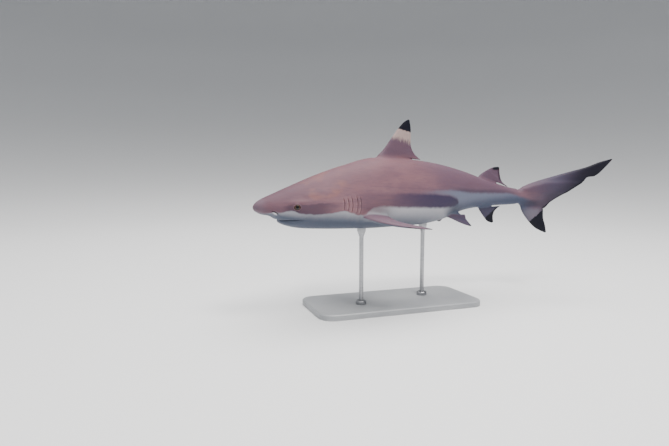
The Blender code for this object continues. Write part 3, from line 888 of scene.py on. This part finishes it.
# Marks in the order they are laid: tone, strength, then what limits it. A limit is a measure with
# the values where it starts and where it is full, or the name of a share that is ready made.
flankMarks = (
    ("backWarm", 0.5, ("place", 6.0, 11.0), ("place", 24.0, 16.0), ("glow", 0.4, 0.66), ("level", 0.8, 2.4)),
    ("finGrey", 0.3, ("streaks", 0.45, 0.7)),
    # darker along the top: partly the back's own colour, partly painted shade that offsets the strong light
    # from above
    ("backTop", 0.5, ("height", 0.15, 0.85)),
    ("snout", 0.5, ("place", 13.0, 6.0)),
    ("finGrey", 0.65, "rearward", ("place", 38.0, 53.0)),
    ("noseTip", 0.5, ("place", 2.8, 0.5)),
    ("band", 1.0, "underBand", ("place", 20.0, 37.0), "bandDepth"),
    # darker below the eye's upper edge: partly the head's own colour, partly painted shade where its side
    # turns from the light above
    ("eyeZone", 0.62, ("place", 4.6, 6.6), ("place", 18.0, 12.5), ("underEye", 0.72, 0.42)),
    # a painted shadow line along the top of the wedge
    ("keelShade", 0.5, ("place", 48.0, 55.0), ("place", 76.0, 70.0), ("overWedge", 1.3, 0.35)),
)
finMarks = (
    ("finGrey", 0.72, "firstDorsal"),
    ("cream", 0.9, ("creamLine", -0.7, 0.9), "firstDorsal"),
    ("black", 1.0, ("dorsalLine", -0.14, 0.14), "firstDorsal"),
    ("tailGrey", 1.0, "tailFin", "tailDepth"),
    # painted shade along the keel of the tail stock into the fin
    ("keelShade", 0.7, ("fromKeel", 1.4, 0.4), "tailFin", ("place", 83.0, 78.0)),
    ("lobePatch", 0.8, ("level", -1.9, -3.4), "tailFin", ("place", 82.0, 79.0)),
    ("black", 1.0, ("lobeLine", 0.14, -0.14), "tailFin", ("place", 84.0, 82.8)),
    ("black", 0.4, ("tailLine", 4.5, 0.6), ("place", 79.0, 83.0), ("tailLine", -3.0, -1.5)),
    ("black", 0.92, ("place", 83.0, 94.0), "tailFin"),
    ("black", 1.0, ("place", 80.6, 81.4), ("tailLine", -1.9, -1.5), ("tailLine", 0.8, 0.2)),
    ("finGrey", 0.6, "smallFins", ("level", 3.2, 4.4)),
    ("black", 1.0, "secondDorsalDark", "smallFins"),
    ("tailGrey", 0.85, "smallFins", ("level", -1.3, -2.3)),
    ("black", 1.0, "smallFins", ("level", -1.3, -2.3), ("analLine", 0.2, -0.4)),
    ("pinkFin", 1.0, "pairedFins", "upperSide"),
    ("pelvicGrey", 0.9, "pairedFins", "upperSide", ("place", 44.0, 46.0), ("reach", -0.6, 0.4)),
    ("black", 1.0, ("edge", 0.70, 0.78), "underSide", "onFin"),
    ("black", 0.65, ("edge", 0.88, 0.99), "upperSide", "onFin"),
)
lineMarks = (
    # painted shade in the grooves of the gills, nostril, brow and mouth
    ("slit", 0.8, ("groove", 0.2, 0.03)),
    ("slitEdge", 0.18, ("rim", 0.12, 0.0)),
    ("slit", 0.32, "pores"),
    ("band", 0.13, "flankSense"),
)


def screenColour(colour):
    linear = [((c / 255 + 0.055) / 1.055) ** 2.4 if c > 10 else c / 255 / 12.92 for c in colour]
    return (*linear, 1.0)


def newMaterial(name, finish):
    material = bpy.data.materials.new(name)
    material.use_nodes = True
    shader = material.node_tree.nodes["Principled BSDF"]
    for socket, value in finish.items():
        shader.inputs[socket].default_value = value
    return material, material.node_tree, shader


def isSocket(value):
    return hasattr(value, "is_output")


def feed(source, socket):
    # links a socket, or sets a number or a colour
    if isSocket(source):
        socket.id_data.links.new(source, socket)
    else:
        socket.default_value = source


def newNode(tree, kind, values, **settings):
    # a node with its settings, and a value or a link for each named input
    node = tree.nodes.new("ShaderNode" + kind)
    for name, setting in settings.items():
        setattr(node, name, setting)
    for name, value in values.items():
        feed(value, node.inputs[name])
    return node


def treeOf(*values):
    return next(value.id_data for value in values if isSocket(value))


def sums(operation, first, second=0.0, third=0.0):
    tree = treeOf(first, second, third)
    return newNode(tree, "Math", {0: first, 1: second, 2: third}, operation=operation).outputs[0]


def product(first, *others):
    for other in others:
        first = sums("MULTIPLY", first, other)
    return first


def scaled(value, factor, offset):
    return sums("MULTIPLY_ADD", value, factor, offset)


def ramp(value, low, high):
    # 0 below low and 1 above high, smooth between; low may be the larger, to fall instead of rise
    falls = low > high
    span = {"Value": value, "From Min": min(low, high), "From Max": max(low, high)}
    span.update({"To Min": 1.0 if falls else 0.0, "To Max": 0.0 if falls else 1.0})
    return newNode(treeOf(value), "MapRange", span, interpolation_type="SMOOTHSTEP").outputs["Result"]


def mixTone(share, under, over):
    under, over = (screenColour(tone) if isinstance(tone, tuple) else tone for tone in (under, over))
    return newNode(treeOf(share), "Mix", {0: share, 6: under, 7: over}, data_type="RGBA").outputs[2]


def readVector(tree, name):
    return newNode(tree, "Attribute", {}, attribute_name=name).outputs["Vector"]


def parts(vector):
    return tuple(newNode(treeOf(vector), "SeparateXYZ", {0: vector}).outputs)


def stretched(vector, stretch):
    # a place times a number for each direction, to scale and stretch a texture
    return newNode(treeOf(vector), "VectorMath", {0: vector, 1: stretch}, operation="MULTIPLY").outputs[0]


def speckle(vector, stretch, detail, roughness):
    noise = {"Vector": stretched(vector, stretch), "Scale": 1.0, "Detail": detail, "Roughness": roughness}
    return newNode(treeOf(vector), "TexNoise", noise).outputs["Fac"]


def bumpOf(height, strength, distance, under=None):
    # a bump, over another one where there is one
    values = {"Height": height, "Strength": strength, "Distance": distance}
    if under is not None:
        values["Normal"] = under
    return newNode(treeOf(height), "Bump", values).outputs[0]


def edgeLine(place, name):
    # the level of a named edge at a place
    low, high = lineRange
    node = newNode(treeOf(place), "FloatCurve", {"Value": sums("DIVIDE", place, 100.0)})
    curve = node.mapping.curves[0]
    spots = [(p / 100, (level - low) / (high - low)) for p, level in edgeLines[name]]
    curve.points[0].location = spots[0]
    curve.points[1].location = spots[-1]
    for spot in spots[1:-1]:
        curve.points.new(*spot)
    for point in curve.points:
        point.handle_type = "AUTO_CLAMPED"
    node.mapping.update()
    return scaled(node.outputs[0], high - low, low)


def overLine(place, level, name):
    # how far a spot is above a named straight line
    (startPlace, startLevel), (endPlace, endLevel) = straightLines[name]
    slope = (endLevel - startLevel) / (endPlace - startPlace)
    return sums("SUBTRACT", level, scaled(place, slope, startLevel - slope * startPlace))


def layMarks(tone, marks, measures):
    for name, strength, *limits in marks:
        shares = []
        for limit in limits:
            if isinstance(limit, str):
                shares.append(measures[limit])
            else:
                measure, start, full = limit
                shares.append(ramp(measures[measure], start, full))
        tone = mixTone(product(*shares, strength), tone, skinTones[name])
    return tone


def flankMeasures(spot, grain):
    place, _, level = parts(spot)
    level = scaled(sums("SUBTRACT", grain["wander"], 0.5), 0.5, level)
    overBand, overWedge = (
        sums("SUBTRACT", level, edgeLine(place, name)) for name in ("bandTop", "wedge")
    )
    stock = product(ramp(place, 66.0, 71.0), 0.6)
    return {
        "place": place,
        "level": level,
        "glow": grain["glow"],
        "streaks": grain["streaks"],
        "height": sums("DIVIDE", level, edgeLine(place, "ridge")),
        "rearward": sums("MAXIMUM", ramp(level, 0.8, 2.6), stock),
        "underBand": ramp(overBand, 0.6, -0.4),
        "bandDepth": scaled(ramp(place, 28.0, 47.0), 0.42, 0.5),
        "underEye": scaled(sums("SUBTRACT", place, eye["place"]), -0.05, level),
        "overWedge": overWedge,
    }


def wedgeOver(tone, measures):
    # the wedge: a pale mark whose white is set dim and bluish as painted shade, with more painted shade
    # making it greyer below and behind
    place, level = measures["place"], measures["level"]
    grows = product(ramp(place, 36.0, 54.0), ramp(place, 79.5, 75.0))
    outside = sums("SUBTRACT", 1.0, measures["underBand"])
    share = product(ramp(measures["overWedge"], 0.45, -0.6), outside, grows)
    fall = scaled(place, -0.1, sums("ADD", level, 6.0))
    shade = ramp(fall, 1.2, -1.6)
    return mixTone(share, tone, mixTone(shade, skinTones["shadedFlankWhite"], skinTones["paintedFlankShade"]))


def bellyOver(tone, measures):
    # the belly: white under its edge, then painted shade that darkens it downwards, sooner towards the
    # snout, and all over behind the band's end; the cheek gets more painted shade
    place, level = measures["place"], measures["level"]
    soft = scaled(ramp(place, 21.0, 29.0), 0.24, 0.2)
    below = sums("SUBTRACT", edgeLine(place, "belly"), level)
    belly = ramp(sums("DIVIDE", below, soft), -1.0, 1.0)
    # painted shade: darker downwards, sooner towards the snout, and behind the band's end
    reach = sums("MINIMUM", scaled(place, 0.16, 0.25), scaled(place, 0.09, 0.9))
    sunk = sums("DIVIDE", sums("SUBTRACT", -0.8, level), reach)
    shade = sums("MAXIMUM", ramp(sunk, 0.0, 1.15), ramp(place, 46.0, 53.0))
    cheekPaintedShade = product(ramp(place, 25.0, 14.0), 0.42)
    bellyTone = mixTone(shade, skinTones["belly"], skinTones["paintedBellyShade"])
    bellyTone = mixTone(cheekPaintedShade, bellyTone, skinTones["paintedBellyShade"])
    blush = product(ramp(place, 22.0, 24.0), ramp(place, 31.5, 26.5))
    blush = scaled(product(blush, ramp(level, -2.4, -1.0)), -0.5, 1.0)
    return mixTone(product(belly, blush, ramp(place, 77.0, 74.0)), tone, bellyTone)


def finMeasures(spot, finSpot, grain):
    place, _, level = parts(spot)
    onFin, reach, side = parts(finSpot)
    wobble = scaled(grain["jitter"], 1.1, -0.55)
    ragged = scaled(grain["fringe"], 2.6, -1.3)

    def unevenLine(name, wander):
        return sums("ADD", overLine(place, level, name), wander)

    def limited(value, *spans):
        return product(value, *(ramp(*span) for span in spans))

    upperSide = ramp(side, -0.04, 0.05)
    tipDark = limited(ramp(level, 7.5, 7.9), (place, 66.2, 67.0))
    rearDark = limited(0.6, (unevenLine("secondDorsal", wobble), -0.6, 0.9), (level, 4.3, 5.4))
    return {
        "place": place,
        "level": level,
        "onFin": onFin,
        "reach": reach,
        "edge": scaled(wobble, 0.04, reach),
        "upperSide": upperSide,
        "underSide": sums("SUBTRACT", 1.0, upperSide),
        "firstDorsal": limited(1.0, (level, 10.2, 12.0), (place, 60.0, 55.0)),
        "creamLine": unevenLine("cream", ragged),
        "dorsalLine": unevenLine("dorsalBlack", wobble),
        "tailFin": ramp(place, 73.5, 77.5),
        "tailDepth": scaled(ramp(place, 75.0, 85.0), 0.7, 0.2),
        "fromKeel": sums("ABSOLUTE", sums("ADD", level, 1.3)),
        "lobeLine": unevenLine("lobeBlack", wobble),
        "tailLine": scaled(wobble, 0.5, overLine(place, level, "tailRear")),
        "smallFins": limited(onFin, (place, 60.0, 61.0), (place, 73.0, 72.0)),
        "secondDorsalDark": sums("MAXIMUM", tipDark, rearDark),
        "analLine": unevenLine("anal", wobble),
        "pairedFins": limited(onFin, (reach, 0.01, 0.08)),
    }


def lineMeasures(spot, groove, rim):
    # painted shadow along the mouth's groove and the other grooves, the pores of the snout and the faint
    # line along the flank
    place, _, level = parts(spot)
    cells = newNode(treeOf(spot), "TexVoronoi", {"Vector": spot, "Scale": 4.2}).outputs["Distance"]
    pores = product(ramp(cells, 0.17, 0.08), ramp(place, 8.5, 5.0), ramp(place, 1.0, 1.8))
    near = sums("ABSOLUTE", overLine(place, level, "flankSense"))
    outside = sums("ADD", ramp(place, 25.0, 23.5), ramp(place, 72.0, 75.0))
    return {
        "groove": sums("MINIMUM", groove, mouthLine(spot)),
        "rim": rim,
        "pores": pores,
        "flankSense": ramp(sums("ADD", near, outside), 0.16, 0.04),
    }


def paleEdges(tone, spot, pale, broken):
    # painted highlight on the flap over the nostril and along the broken pale edges of the gill slits
    place, _, _ = parts(spot)
    behindNose, onNose = ramp(place, 6.0, 8.0), ramp(place, 8.0, 6.0)
    edgeTone = mixTone(behindNose, skinTones["noseFlapHighlight"], skinTones["slitEdge"])
    broken = sums("MAXIMUM", ramp(broken, 0.36, 0.6), onNose)
    share = product(ramp(pale, 0.26, 0.0), scaled(onNose, 0.4, 0.4), broken)
    return mixTone(share, tone, edgeTone)


def mouthLine(spot):
    # distance to the groove between the lips, where a painted shadow line is laid
    place, out, level = parts(spot)
    reach, half = mouth["corner"] - mouth["front"], mouth["cornerHalf"]
    slope = (mouth["cornerLevel"] - mouth["frontLevel"]) / reach
    lip = scaled(place, slope, mouth["frontLevel"] - slope * mouth["front"])
    rise = sums("SUBTRACT", level, lip)
    rise = sums("MAXIMUM", rise, product(rise, -1.8))
    arch = scaled(product(out, out), reach / half**2, mouth["front"])
    lean = product(out, 2 * reach / half**2)
    steep = sums("SQRT", scaled(lean, lean, 1.0))
    ahead = sums("DIVIDE", sums("SUBTRACT", arch, place), steep)
    gap = sums("SQRT", scaled(ahead, ahead, product(rise, rise)))
    fade = product(ramp(place, 7.2, 10.2), 0.32)
    return sums("ADD", gap, sums("SUBTRACT", fade, 0.04))


def finRays(spot, finSpot):
    # fine rays that fan back through the fins, about 0 on average
    onFin, _, _ = parts(finSpot)
    values = {"Vector": spot, "Angle": 0.36}
    turned = newNode(treeOf(spot), "VectorRotate", values, rotation_type="Y_AXIS").outputs[0]
    streaks = speckle(turned, (5.5, 1.0, 0.35), 2.0, 0.5)
    return product(sums("SUBTRACT", streaks, 0.5), onFin)


def skinBump(spot, folds, height):
    # fine denticles under soft folds, under the rays, pores and line along the flank
    cells = newNode(treeOf(spot), "TexVoronoi", {"Vector": stretched(spot, (0.6, 1.0, 1.0)), "Scale": 16.0})
    fine = bumpOf(cells.outputs["Distance"], 0.25, 0.0004)
    return bumpOf(height, 0.5, 0.0012, bumpOf(folds, 0.3, 0.0025, fine))


def makeSkinMaterial():
    material, tree, shader = newMaterial("reefSharkSkin", skinFinish)
    spot, finSpot = readVector(tree, "spot"), readVector(tree, "finSpot")
    groove, pale, rim = parts(readVector(tree, "crease"))
    grain = {name: speckle(spot, *noise) for name, noise in skinGrain.items()}
    flank = flankMeasures(spot, grain)
    lines = lineMeasures(spot, groove, rim)
    tone = mixTone(ramp(grain["patches"], 0.3, 0.72), skinTones["back"], skinTones["backRosy"])
    tone = layMarks(tone, flankMarks, flank)
    tone = wedgeOver(tone, flank)
    tone = bellyOver(tone, flank)
    tone = layMarks(tone, finMarks, finMeasures(spot, finSpot, grain))
    tone = paleEdges(tone, spot, pale, grain["broken"])
    tone = layMarks(tone, lineMarks, lines)
    rays = finRays(spot, finSpot)
    light = scaled(rays, 0.14, scaled(grain["fine"], 0.22, 0.89))
    shade = newNode(tree, "HueSaturation", {"Color": tone, "Value": light})
    rough = scaled(grain["fine"], 0.2, skinFinish["Roughness"] - 0.1)
    height = scaled(rays, 0.5, product(lines["flankSense"], -0.25))
    height = scaled(lines["pores"], -0.5, height)
    feed(shade.outputs[0], shader.inputs["Base Color"])
    feed(rough, shader.inputs["Roughness"])
    feed(skinBump(spot, grain["folds"], height), shader.inputs["Normal"])
    return material


eyeLook = {
    "pupil": (6, 7, 9),
    "iris": (80, 58, 40),
    "irisDeep": (36, 27, 22),
    "rim": (26, 21, 24),
    "finish": {
        "Roughness": 0.1, "Specular IOR Level": 0.25, "Coat Weight": 0.25, "Coat Roughness": 0.03,
    },
    "cornea": 0.045,  # how far the cornea domes out, over the ball's radius
}


def makeEyeMaterial():
    material, tree, shader = newMaterial("eyeGlass", eyeLook["finish"])
    spot = readVector(tree, "eyeSpot")
    along, _, up = parts(spot)
    halfWide, halfTall = eye["pupil"]
    wide = sums("POWER", sums("DIVIDE", along, halfWide), 2.0)
    tall = sums("POWER", sums("DIVIDE", up, halfTall), 2.0)
    pupil = ramp(sums("ADD", wide, tall), 1.12, 0.9)
    away = sums("SQRT", scaled(along, along, product(up, up)))
    threads = speckle(spot, (14.0, 3.0, 14.0), 4.0, 0.7)
    tone = mixTone(ramp(threads, 0.35, 0.7), eyeLook["iris"], eyeLook["irisDeep"])
    tone = mixTone(ramp(away, 0.42, 0.66), tone, eyeLook["rim"])
    tone = mixTone(pupil, tone, eyeLook["pupil"])
    feed(tone, shader.inputs["Base Color"])
    return material


def makeEye(side, word, material):
    # the ball, with the clear dome over its iris
    tools = makeBall(eye["radius"], 72, 48)
    piece = newPiece("eyeball" + word, tools, material)
    centre, outward = eyeSeat(side)
    points = vertexPoints(piece.data)
    heading = backAt(eye["place"])[0]
    tailward = np.array([math.cos(heading), math.sin(heading), 0.0])
    tailward -= outward * (tailward @ outward)
    tailward /= np.linalg.norm(tailward)
    upward = np.cross(outward, tailward) * -side
    unit = points / eye["radius"]
    spots = np.stack([unit @ tailward, unit @ outward, unit @ upward], axis=1)
    dome = eyeLook["cornea"] * rampUp(spots[:, 1], 0.80, 0.97)
    placed = centre + points * (1 + dome - eyeLook["cornea"])[:, None]
    piece.data.vertices.foreach_set("co", placed.ravel())
    piece.data.update()
    storeVectors(piece.data, "eyeSpot", spots)
    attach(piece, "root")
    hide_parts("eye_" + word.lower())


skin = makeSkin(makeSkinMaterial())
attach(skin, "root")
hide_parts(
    "head", "lower_jaw", "gill_region", "trunk_front", "trunk_rear", "tail_stock",
    "first_dorsal_fin", "second_dorsal_fin", "anal_fin", "caudal_fin_upper", "caudal_fin_lower",
    "pectoral_fin_left", "pectoral_fin_right", "pelvic_fin_left", "pelvic_fin_right",
)
eyeMaterial = makeEyeMaterial()
makeEye(1, "Left", eyeMaterial)
makeEye(-1, "Right", eyeMaterial)
print("eyes made")

standLook = {
    "paint": (158, 160, 163),
    "paintWorn": (144, 146, 150),
    "steel": (178, 179, 182),
    "steelDark": (140, 141, 145),
}


def objectGrain(tree, stretch, detail, roughness):
    place = newNode(tree, "TexCoord", {}).outputs["Object"]
    return speckle(place, stretch, detail, roughness)


def makePaint():
    # sprayed satin paint with a faint orange-peel surface
    material, tree, shader = newMaterial("standPaint", {"Roughness": 0.38})
    clouds = objectGrain(tree, (6.0, 6.0, 6.0), 3.0, 0.5)
    tone = mixTone(ramp(clouds, 0.35, 0.75), standLook["paint"], standLook["paintWorn"])
    peel = objectGrain(tree, (450.0, 450.0, 450.0), 2.0, 0.5)
    feed(tone, shader.inputs["Base Color"])
    feed(scaled(clouds, 0.15, 0.32), shader.inputs["Roughness"])
    feed(bumpOf(peel, 0.18, 0.0003), shader.inputs["Normal"])
    return material


def makeSteel():
    # rods brushed round their length
    material, tree, shader = newMaterial("brushedSteel", {"Roughness": 0.3, "Metallic": 1.0})
    rings = objectGrain(tree, (30.0, 30.0, 2400.0), 3.0, 0.7)
    tone = mixTone(ramp(rings, 0.3, 0.7), standLook["steel"], standLook["steelDark"])
    feed(tone, shader.inputs["Base Color"])
    feed(scaled(rings, 0.25, 0.2), shader.inputs["Roughness"])
    feed(bumpOf(rings, 0.12, 0.0002), shader.inputs["Normal"])
    return material


def dressStand():
    paint, steel = makePaint(), makeSteel()
    for name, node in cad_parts.items():
        if name.startswith("stand_"):
            node.data.materials.clear()
            node.data.materials.append(paint if name == "stand_base" else steel)


dressStand()
print("stand dressed")

studio = {
    "camera": (-0.7652, -1.5968, 0.4544),
    "turn": (84.078, 0.0, -19.506),
    "lens": 29.04,
    # radius and height of the floor, which is flat in the middle and sweeps up far behind
    "sweep": (
        (0.02, 0.0), (2.0, 0.0), (3.0, 0.0), (4.5, 0.06), (6.5, 0.34), (8.5, 0.92), (10.5, 1.9),
        (12.0, 3.2), (13.0, 5.0), (13.6, 8.5),
    ),
    "floor": (222, 223, 224),
    "air": (232, 236, 242),
    "airStrength": 0.42,
    # place, size, power and colour
    "lights": {
        "ceilingLight": ((0.0, 0.5, 5.2), 6.0, 620, (1.0, 0.98, 0.96)),
        "topLight": ((0.3, -1.5, 2.6), 1.0, 75, (1.0, 0.97, 0.93)),
        "frontLight": ((-2.4, -2.4, 1.3), 1.6, 12, (0.96, 0.98, 1.0)),
    },
    "lightsAim": (0, 0, 0.35),
}


def makeCamera():
    data = bpy.data.cameras.new("camera")
    data.lens = studio["lens"]
    data.sensor_width = 36
    camera = bpy.data.objects.new("camera", data)
    camera.location = studio["camera"]
    camera.rotation_euler = [math.radians(a) for a in studio["turn"]]
    bpy.context.scene.collection.objects.link(camera)
    bpy.context.scene.camera = camera


def makeFloor():
    tools = bmesh.new()
    table = np.array(studio["sweep"])
    radii = np.linspace(table[0, 0], table[-1, 0], 60)
    heights = smoothCurve(table, 1, radii)
    turns = np.linspace(0, 2 * math.pi, 96, endpoint=False)
    rings = []
    for radius, height in zip(radii, heights):
        rings.append([tools.verts.new((radius * math.cos(a), radius * math.sin(a), height)) for a in turns])
    joinRings(tools, rings[::-1])  # from the outside in, so that the floor faces up
    tools.faces.new(rings[0])
    finish = {"Roughness": 0.85, "Base Color": screenColour(studio["floor"])}
    newPiece("floor", tools, newMaterial("floorPaint", finish)[0])


def makeLight(name, place, size, power, colour):
    data = bpy.data.lights.new(name, "AREA")
    data.shape = "DISK"
    data.size = size
    data.energy = power
    data.color = colour
    light = bpy.data.objects.new(name, data)
    light.location = place
    light.rotation_euler = (Vector(studio["lightsAim"]) - Vector(place)).to_track_quat("-Z", "Y").to_euler()
    bpy.context.scene.collection.objects.link(light)


def makeAir():
    world = bpy.data.worlds.new("studio")
    bpy.context.scene.world = world
    world.use_nodes = True
    background = world.node_tree.nodes["Background"]
    background.inputs["Color"].default_value = screenColour(studio["air"])
    background.inputs["Strength"].default_value = studio["airStrength"]


makeCamera()
makeFloor()
makeAir()
for lightName, settings in studio["lights"].items():
    makeLight(lightName, *settings)
print("studio made")
